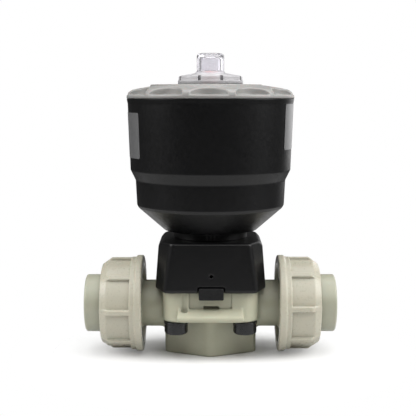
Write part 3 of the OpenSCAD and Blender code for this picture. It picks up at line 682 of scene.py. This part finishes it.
# ---------------------------------------------------------------- bonnet, diaphragm and caps
def bonnet_field(p):
    """Block that narrows upwards, with slanted corners, a shoulder at each end and its hollows."""
    x, y, z = p.T
    lean = np.clip((z - FLANGE_TOP - 1.1) / (BONNET_TOP - FLANGE_TOP - 2), 0, 1)
    half_x, half_y = 32.5 - 2.1 * lean, 32 - lean
    cut_x, cut_y = 27 - 4.25 * lean, 17 - 0.5 * lean
    run, rise = half_x - cut_x, half_y - cut_y
    corner = ((np.abs(x) - cut_x) * rise + (np.abs(y) - half_y) * run) / np.hypot(run, rise)
    sides = -smooth_min(half_y - np.abs(y), -corner, 2.4)
    sides = -smooth_min(half_x - np.abs(x), -sides, 0.5)
    solid = slab(sides, z, FLANGE_TOP, BONNET_TOP, 1.2)
    shoulder = (np.abs(x) - half_x + 0.9 * (z - BONNET_TOP) + 2.2) / 1.35
    solid = -smooth_min(-solid, -shoulder, 0.8)
    bevel = (sides + (FLANGE_TOP - z) + 1.0) / math.sqrt(2)
    solid = -smooth_min(-solid, -bevel, 0.5)
    r = np.hypot(x, y)
    seat = slab(r - DIAPHRAGM_R - 0.2, z, FLANGE_TOP - 5, FLANGE_TOP + 3)
    cavity = slab(r - 16.5, z, FLANGE_TOP, FLANGE_TOP + 19.1)
    bush = slab(r - 8.02, z, FLANGE_TOP + 15, BONNET_TOP + 5)
    recess = slab(r - (SPIGOT_R + 0.02), z, BONNET_TOP - 3.8, BONNET_TOP + 5)
    hollow = np.minimum(np.minimum(seat, cavity), np.minimum(bush, recess))
    tab = slab(rounded_rect(x - TAB_X, z - FLANGE_TOP, 7.75, 3.75, 0.8), y, -40, -15)
    holes = np.hypot(np.abs(x) - SCREW_AT, np.abs(y) - SCREW_AT) - 3.3
    holes = slab(holes, z, FLANGE_TOP - 5, FLANGE_TOP + 16)
    deep = np.hypot(np.abs(x) - HOUSING_SCREW_AT, np.abs(y) - HOUSING_SCREW_AT) - 2.02
    deep = slab(deep, z, BONNET_TOP - 8.8, BONNET_TOP + 5)
    vent = slab(np.hypot(x - TAB_X, z - FLANGE_TOP - 10) - 1.0, y, -40, -15)
    necks = slab(np.hypot(y, z - AXIS) - NECK_R - 0.4, np.abs(x), FLANGE_HALF[0] - 0.1, 45)
    solid = cut(cut(solid, hollow, 0.3), tab, 0.5)
    solid = cut(cut(solid, holes, 0.3), deep, 0.3)
    return cut(cut(solid, vent, 0.35), necks, 0.8)


def make_bonnet():
    low, high = cad("bonnet")
    points, faces = surface_net(bonnet_field, low, high, step=0.6)
    piece = add_piece("bonnet_block", points, faces, PAINT["black_plastic"])
    place(piece, "valve", "black_plastic", "bonnet")


def diaphragm_field(p):
    """Clamped rim with its tab, and the dome pressed on the weir, moulded round the stud's head."""
    x, y, z = p.T
    r = np.hypot(x, y)
    rim = slab(r - DIAPHRAGM_R, z, FLANGE_TOP, FLANGE_TOP + 3, 0.5)
    far = np.sqrt(x * x + y * y + (z - BOWL_Z) ** 2)
    dome = np.maximum(far - BOWL_R + 0.05, z - FLANGE_TOP - 3)
    solid = smooth_min(rim, np.maximum(dome, r - 18), 0.8)
    boss = slab(r - 6, z, BOWL_Z - 19, BOWL_Z - 14.55, 0.5)
    inner = cut(far - BOWL_R + 2.45, boss, 0.6)
    solid = cut(solid, inner, 0.5)
    strap = slab(rounded_rect(x - TAB_X, z - FLANGE_TOP - 1.5, 7.2, 1.5, 0.4), y, -30, -18)
    tab = slab(rounded_rect(x - TAB_X, z - FLANGE_TOP + 0.3, 7.2, 3.4, 0.7), y, -33.2, -28, 0.6)
    solid = smooth_min(smooth_min(solid, strap, 0.5), tab, 0.5)
    stud = np.minimum(slab(r - 4.03, z, BOWL_Z - 17.37, BOWL_Z - 15.73), slab(r - 2.53, z, BOWL_Z - 17, 45))
    return cut(solid, stud, 0.1)


def make_diaphragm():
    low, high = cad("diaphragm")
    points, faces = surface_net(diaphragm_field, low, high, step=0.5)
    piece = add_piece("diaphragm_sheet", points, faces, PAINT["diaphragm_rubber"])
    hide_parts("diaphragm")
    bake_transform(piece)


def make_screw_caps():
    foot = cad("screw_caps")[0][2]
    top = cad("screw_caps")[1][2]
    outer_r, lip_r, inner_r = 6.9, 7.3, 5.5
    profile = [(0, foot), (3.0, foot, 0.3), (3.3, foot + 0.25, 0.2), (outer_r, foot + 0.25, 3.2),
               (outer_r, top - 1.7, 0.4), (lip_r, top - 1.4, 0.3), (lip_r, top, 0.4),
               (inner_r, top, 0.2), (inner_r, foot + 1.7, 0.8), (0, foot + 1.7)]
    points, faces = lathe(profile, 64, closed=False)
    all_points, all_faces = [], []
    for x in (-SCREW_AT, SCREW_AT):
        for y in (-SCREW_AT, SCREW_AT):
            offset = len(all_points) * len(points)
            all_points.append(points + (x, y, 0))
            all_faces += [tuple(i + offset for i in face) for face in faces]
    piece = add_piece("corner_caps", np.concatenate(all_points), all_faces, PAINT["black_gloss"],
                      sharp_angle=50)
    weighted(outward(piece))
    place(piece, "valve", "black_gloss", "screw_caps")


# ---------------------------------------------------------------- actuator
def wall_r(z):
    """Outer radius of the housing's upper cylinder at height z."""
    return HOUSING_R - WALL_INSET + (z - HOUSING_FOOT - WALL_START) * WALL_TAPER


def lathe_along_y(profile, segments, height):
    """A profile of (radius, y, rounding) turned about the line x = 0, z = height."""
    points, faces = lathe(profile, segments, closed=False)
    return np.stack([points[:, 0], points[:, 2], points[:, 1] + height], 1), faces


def make_housing():
    """Turned shell, then the air port and breather at the back, three ribs and the screw holes."""
    black = PAINT["black_plastic"]
    foot, floor, lower_r = HOUSING_FOOT, HOUSING_FLOOR, CYLINDER_R - 4.5
    profile = [
        (5.3, BONNET_TOP - 3.6, 0.3), (SPIGOT_R, BONNET_TOP - 3.6, 0.5), (SPIGOT_R, BONNET_TOP),
        (22, BONNET_TOP, 0.4), (22, foot, 1.0), (27.7, foot, 0.8), (43.1, foot + 13.5, 2.0),
        (44.0, foot + 15.2, 1.5), (44.7, foot + 29.8, 3.0), (47.7, foot + 36, 2.6),
        (wall_r(foot + WALL_START), foot + WALL_START), (wall_r(HOUSING_TOP - 3), HOUSING_TOP - 3, 6),
        (HOUSING_R - 0.05, HOUSING_TOP - 1, 0.3), (HOUSING_R, HOUSING_TOP, 0.5),
        (CYLINDER_R, HOUSING_TOP, 0.5), (CYLINDER_R, foot + 37.5, 0.5), (lower_r, foot + 31.5, 2),
        (lower_r, foot + 16, 2), (26.5, floor, 1.0), (8.2, floor, 0.3), (8.2, floor - 5, 0.3),
        (5.3, floor - 5, 0.3)]
    piece = outward(add_piece("housing", *lathe(profile, 192), black))

    port_boss = [(0, 42.5), (8.6, 42.5), (7.5, 44.8, 1.2), (7.5, 48.2, 0.7), (0, 48.2)]
    combine(piece, outward(add_piece("boss", *lathe_along_y(port_boss, 64, PORT_Z), black)), "UNION")
    for x in (-2.0, 0.1, 2.2):
        corners = box_corners((x - 0.6, x + 0.6), (-24, -20), (BONNET_TOP + 0.7, BONNET_TOP + 5.1))
        combine(piece, outward(add_piece("rib", corners, BOX_FACES, black)), "UNION")

    port_thread = []
    for i in range(7):
        port_thread += [(4.4, 41.8 + 0.9 * i), (4.75, 42.25 + 0.9 * i)]
    port_bore = [(0, 36), (4.4, 36)] + port_thread + [(4.9, 47.9), (5.3, 48.6), (5.3, 50), (0, 50)]
    breather = [(0, 44), (1, 44), (1, 52), (0, 52)]
    for name, hole, segments, height in (("drill", port_bore, 48, PORT_Z),
                                         ("vent", breather, 24, HOUSING_TOP - 11)):
        tool = outward(add_piece(name, *lathe_along_y(hole, segments, height), black))
        combine(piece, tool, "DIFFERENCE")

    screw_circle_r, screw_r, head_r, head_z = 17.5, 2.2, 3.7, floor - 3.5
    screw_hole = [(0, BONNET_TOP - 2), (screw_r, BONNET_TOP - 2), (screw_r, head_z), (head_r, head_z),
                  (head_r, floor + 2), (0, floor + 2)]
    hole_points, hole_faces = lathe(screw_hole, 32, closed=False)
    for angle in QUARTERS:
        x = screw_circle_r * math.cos(math.radians(angle))
        y = screw_circle_r * math.sin(math.radians(angle))
        hole = add_piece("hole", hole_points + (x, y, 0), hole_faces, black)
        combine(piece, outward(hole), "DIFFERENCE")
    reshade(piece)
    place(piece, "valve", "black_plastic", "actuator_housing")


def make_labels():
    """Two thin labels with rounded corners that hug the housing; angles in degrees."""
    height, wide, corner, gap, thick = 26.3, 45.0, 1.6, 0.05, 0.2
    radius = wall_r(HOUSING_TOP - 15)
    half_arc = math.radians(wide / 2) * radius
    rows, columns = 40, 60
    points, faces = [], []
    for start, foot in ((-29.0, HOUSING_FOOT + 48.5), (168.0, HOUSING_FOOT + 43.5)):
        for layer in (gap, thick):
            for i in range(rows + 1):
                t = (1 - math.cos(math.pi * i / rows)) / 2
                from_edge = min(t, 1 - t) * height
                inset = 0.0
                if from_edge < corner:
                    inset = corner - math.sqrt(corner ** 2 - (corner - from_edge) ** 2)
                z = foot + t * height
                for k in range(columns + 1):
                    s = -1 + 2 * k / columns
                    angle = math.radians(start + wide / 2) + s * (half_arc - inset) / radius
                    r = wall_r(z) + layer
                    points.append((r * math.cos(angle), r * math.sin(angle), z))
        sheet = (rows + 1) * (columns + 1)
        first = len(points) - 2 * sheet
        for i in range(rows):
            for k in range(columns):
                a = first + i * (columns + 1) + k
                b = a + sheet
                faces.append((a, a + columns + 1, a + columns + 2, a + 1))
                faces.append((b, b + 1, b + columns + 2, b + columns + 1))
        rim = [first + k for k in range(columns)]
        rim += [first + i * (columns + 1) + columns for i in range(rows)]
        rim += [first + rows * (columns + 1) + k for k in range(columns, 0, -1)]
        rim += [first + i * (columns + 1) for i in range(rows, 0, -1)]
        for a, b in zip(rim, rim[1:] + rim[:1]):
            faces.append((a, b, b + sheet, a + sheet))
    piece = add_piece("labels", points, faces, PAINT["label"], sharp_angle=40)
    outward(piece)
    place(piece, "valve", "label", "side_labels")


# ---------------------------------------------------------------- cover and indicator
cover_section = Outline([
    (CYLINDER_R - 3.1, HOUSING_TOP - 6.5), (CYLINDER_R - 0.1, HOUSING_TOP - 6.5, 0.4),
    (CYLINDER_R - 0.1, HOUSING_TOP - 5.4), (CYLINDER_R - 1.8, HOUSING_TOP - 5.4),
    (CYLINDER_R - 1.8, HOUSING_TOP - 2.4), (CYLINDER_R - 0.1, HOUSING_TOP - 2.4),
    (CYLINDER_R - 0.1, HOUSING_TOP), (COVER_R, HOUSING_TOP, 0.3), (COVER_R - 0.1, HOUSING_TOP + 1.9, 0.5),
    (COVER_R - 0.7, HOUSING_TOP + 3.55, 1.5), (COVER_R - 3.1, HOUSING_TOP + 5, 2.0),
    (COVER_R - 7.9, HOUSING_TOP + 6, 4.0), (COVER_R - 17, HOUSING_TOP + 7.5, 4.0), (-5, COVER_TOP - 0.5),
    (-5, HOUSING_TOP - 4), (9, HOUSING_TOP - 4, 0.4), (9, HOUSING_TOP + 4.4, 0.6),
    (33, HOUSING_TOP + 4.3, 3), (39.4, HOUSING_TOP + 3.2, 1), (40.2, HOUSING_TOP + 1.2, 0.8),
    (CYLINDER_R - 3.1, HOUSING_TOP + 0.2, 0.8)])
pad_section = Outline([(-5, COVER_TOP - 1.4), (33.1, COVER_TOP - 1.4), (33.1, COVER_TOP - 0.35, 0.25),
                       (16.6, COVER_TOP), (-5, COVER_TOP)])


def cover_field(p):
    """Cover with a raised pad a little off centre and grip scallops round its edge."""
    x, y, z = p.T
    r = np.hypot(x, y)
    shell = cover_section(r, z)
    pad = pad_section(np.hypot(x + 2.5, y), z)
    solid = smooth_min(shell, pad, 0.15)
    spacing, start = math.radians(30), math.radians(91)
    scallop_beyond_rim, scallop_r = 4.85, 12.55
    turn = (np.arctan2(y, x) + start + spacing / 2) % spacing - spacing / 2
    scallop = np.hypot(r * np.cos(turn) - COVER_R - scallop_beyond_rim, r * np.sin(turn)) - scallop_r
    solid = cut(solid, slab(scallop, z, HOUSING_TOP + 1.95, HOUSING_TOP + 20), 0.5)
    recess = slab(r - 14, z, COVER_TOP - 2.5, COVER_TOP + 5)
    bore = r - 4.65
    seal_groove = slab(r - 6.4, z, HOUSING_TOP + 0.6, HOUSING_TOP + 3)
    return cut(cut(solid, recess, 0.2), np.minimum(bore, seal_groove), 0.2)


def make_cover():
    low, high = cad("top_cover")
    points, faces = surface_net(cover_field, low, high, step=0.6)
    piece = add_piece("cover", points, faces, PAINT["cover_plastic"])
    place(piece, "valve", "cover_plastic", "top_cover")


def make_indicator_cap():
    """Closed tube on a flange whose rim carries eight slots, two about the middle of each quarter."""
    top, base, bore, tube_r, fillet_r, spigot_r = CAP_TOP, COVER_TOP, 5.65, 8.1, 9.3, 13.9
    profile = [
        (0, top - 2.1), (bore, top - 2.1, 1.5), (bore, base - 1.0, 0.2), (spigot_r, base - 1.0, 0.2),
        (spigot_r, base, 0.2), (CAP_FLANGE_R, base, 0.3), (CAP_FLANGE_R, base + 2, 0.4),
        (CAP_FLANGE_R - 0.35, base + 2.2, 0.2), (CAP_FLANGE_R - 0.55, base + 4.6, 0.8),
        (fillet_r, base + 6.4, 0.8), (tube_r, base + 7.4, 0.8), (tube_r, top, 2.0), (0, top)]
    points, faces = lathe(profile, 144, closed=False)
    piece = outward(add_piece("clear_cap", points, faces, PAINT["clear_plastic"]))
    block = np.array(box_corners((CAP_FLANGE_R - 2.3, CAP_FLANGE_R + 2), (-0.9, 0.9),
                                 (base + 2, base + 7)))
    for quarter in QUARTERS:
        for side in (-CAP_SLOT_HALF_GAP, CAP_SLOT_HALF_GAP):
            turn = np.array(Matrix.Rotation(math.radians(quarter + side), 3, "Z"))
            slot = outward(add_piece("slot", block @ turn.T, BOX_FACES, PAINT["clear_plastic"]))
            combine(piece, slot, "DIFFERENCE")
    reshade(piece)
    place(piece, "valve", "clear_plastic", "indicator_cap")


# ---------------------------------------------------------------- springs
def make_spring(node, coil_r, wire, turns):
    """A coil with closed ends, whose lower end sits on the piston and whose top stays at the cover."""
    low, high = cad(node)
    foot, height = low[2], high[2] - low[2]
    sides, steps = 14, 40
    dead = 1.04 * wire
    live = (height - wire - 2 * dead) / (turns - 2)
    points, faces = [], []
    count = int(turns * steps)
    for i in range(count + 1):
        t = i / steps
        rise = t * dead if t < 1 else dead + (t - 1) * live
        if t > turns - 1:
            rise = height - wire - (turns - t) * dead
        angle = 2 * math.pi * t
        for k in range(sides):
            s = 2 * math.pi * k / sides
            r = coil_r + wire / 2 * math.cos(s)
            z = foot + wire / 2 * (1 + math.sin(s)) + rise
            points.append((r * math.cos(angle), r * math.sin(angle), z))
    for i in range(count):
        for k in range(sides):
            a, b = i * sides + k, i * sides + (k + 1) % sides
            faces.append((a, b, b + sides, a + sides))
    faces += [tuple(range(sides))[::-1], tuple(range(count * sides, count * sides + sides))]
    piece = add_piece(node + "_coil", points, faces, PAINT["spring_steel"], sharp_angle=60)
    outward(piece)
    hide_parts(node)
    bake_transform(piece)


make_valve_body()
make_nuts()
make_union_ends()
make_bonnet()
make_diaphragm()
make_screw_caps()
make_housing()
make_labels()
make_cover()
make_indicator_cap()
make_spring("outer_spring", coil_r=22, wire=4.5, turns=7)
make_spring("inner_spring", coil_r=14.5, wire=3.2, turns=9)

# The CAD nodes that stay get the material of their slot.
for part in frame["record"]["subparts"]:
    node = frame["nodes"][part["node"]]
    if not node.hide_render:
        node.data.materials.clear()
        node.data.materials.append(PAINT[part["material_slot"]])


# ---------------------------------------------------------------- stage, light and camera
# Brightness, 1 being white, of the room and of the background off to the side behind clear plastic.
ROOM = 0.08
CLEAR_EDGE = 0.15
# Distances from the origin, in metres, over which the floor fades for the camera and darkens for
# reflections.
FLOOR_FADE = (0.03, 0.12)
FLOOR_DARKENS = (0.12, 0.34)

# Name, place, point aimed at, size (all in mm) and radiance of each soft light.
LIGHTS = [
    ("overhead", (40, -100, 1200), (0, 0, 0), (1400, 1400), 2.6),
    ("left_box", (-900, -200, 640), (0, 0, 90), (700, 700), 5.0),
    ("right_box", (900, -200, 640), (0, 0, 90), (700, 700), 6.2),
    ("front_box", (150, -900, 800), (0, 0, 40), (900, 500), 2.0),
    ("window", (600, 920, 480), (0, 0, 480), (530, 940), 1.4),
]

CAMERA_PLACE = (0, -570, AXIS + 123.8)
CAMERA_TILT = 90 - 6.59
CAMERA_LENS = 82.5
CAMERA_SHIFT = -0.006


def make_floor():
    """A plain pale floor; to the camera it fades into the white surroundings, to mirrors it darkens."""
    half, below = 3000, -0.02
    corners = [(-half, -half, below), (half, -half, below), (half, half, below), (-half, half, below)]
    s = Shader("floor")
    pale = s.mix(s.noise(60, 3), (0.90, 0.90, 0.90, 1), (0.92, 0.92, 0.92, 1))
    away = s.add("ShaderNodeVectorMath", {"operation": "LENGTH"}, Vector=s.where).outputs["Value"]
    seen = s.add("ShaderNodeLightPath").outputs["Is Camera Ray"]
    mirrored = s.mix(s.span(away, *FLOOR_DARKENS, 0, 1), (0.76, 0.76, 0.76, 1), (0.05, 0.05, 0.05, 1))
    s.set(Base_Color=s.mix(seen, mirrored, pale), Roughness=0.6)
    faded = s.add("ShaderNodeMath", {"operation": "MULTIPLY"})
    s.wire(faded.inputs[0], s.span(away, *FLOOR_FADE, 0, 1))
    s.wire(faded.inputs[1], seen)
    blend = s.add("ShaderNodeMixShader", Fac=faded.outputs[0])
    s.wire(blend.inputs[1], s.base.outputs[0])
    s.wire(blend.inputs[2], s.add("ShaderNodeBsdfTransparent").outputs[0])
    s.wire(s.tree.nodes["Material Output"].inputs["Surface"], blend.outputs[0])
    add_piece("floor", corners, [(0, 1, 2, 3)], s.material)


def make_light(name, place_mm, aim_mm, size_mm, radiance):
    """A soft rectangular light; radiance 1 looks as bright as a white page in the picture."""
    data = bpy.data.lights.new(name, "AREA")
    data.shape = "RECTANGLE"
    data.size, data.size_y = size_mm[0] * MM, size_mm[1] * MM
    data.energy = math.pi * radiance * data.size * data.size_y
    lamp = bpy.data.objects.new(name, data)
    lamp.location = Vector(place_mm) * MM
    direction = (Vector(aim_mm) - Vector(place_mm)).normalized()
    lamp.rotation_euler = direction.to_track_quat("-Z", "Y").to_euler()
    bpy.context.scene.collection.objects.link(lamp)
    lamp.visible_camera = False


def make_world():
    """White to the camera, white straight behind clear plastic, and a dim room to everything else."""
    world = bpy.data.worlds.new("studio")
    world.use_nodes = True
    tree = world.node_tree
    add, link = tree.nodes.new, tree.links.new

    def combined(operation, a, b):
        """Output of one math node."""
        node = add("ShaderNodeMath")
        node.operation = operation
        link(a, node.inputs[0])
        link(b, node.inputs[1])
        return node.outputs[0]

    rays = add("ShaderNodeLightPath")
    ahead = add("ShaderNodeSeparateXYZ")
    link(add("ShaderNodeTexCoord").outputs["Generated"], ahead.inputs[0])
    behind = add("ShaderNodeMapRange")
    link(ahead.outputs["Y"], behind.inputs[0])
    for socket, number in zip(behind.inputs[1:5], (0.72, 0.95, CLEAR_EDGE, 1.0)):
        socket.default_value = number
    through = combined("MULTIPLY", behind.outputs[0], rays.outputs["Is Transmission Ray"])
    white_share = combined("MAXIMUM", rays.outputs["Is Camera Ray"], through)
    choose = add("ShaderNodeMix")
    choose.data_type = "RGBA"
    link(white_share, choose.inputs[0])
    choose.inputs[6].default_value = (ROOM, ROOM, ROOM, 1)
    choose.inputs[7].default_value = (1, 1, 1, 1)
    link(choose.outputs[2], tree.nodes["Background"].inputs["Color"])
    bpy.context.scene.world = world


def make_camera():
    data = bpy.data.cameras.new("camera")
    data.sensor_width = 36
    data.lens = CAMERA_LENS
    data.shift_x = CAMERA_SHIFT
    data.clip_start, data.clip_end = 0.05, 20
    camera = bpy.data.objects.new("camera", data)
    camera.location = [v * MM for v in CAMERA_PLACE]
    camera.rotation_euler = (math.radians(CAMERA_TILT), 0, 0)
    bpy.context.scene.collection.objects.link(camera)
    bpy.context.scene.camera = camera


make_floor()
for light in LIGHTS:
    make_light(*light)
make_world()
make_camera()
bpy.context.scene.view_settings.view_transform = "Standard"
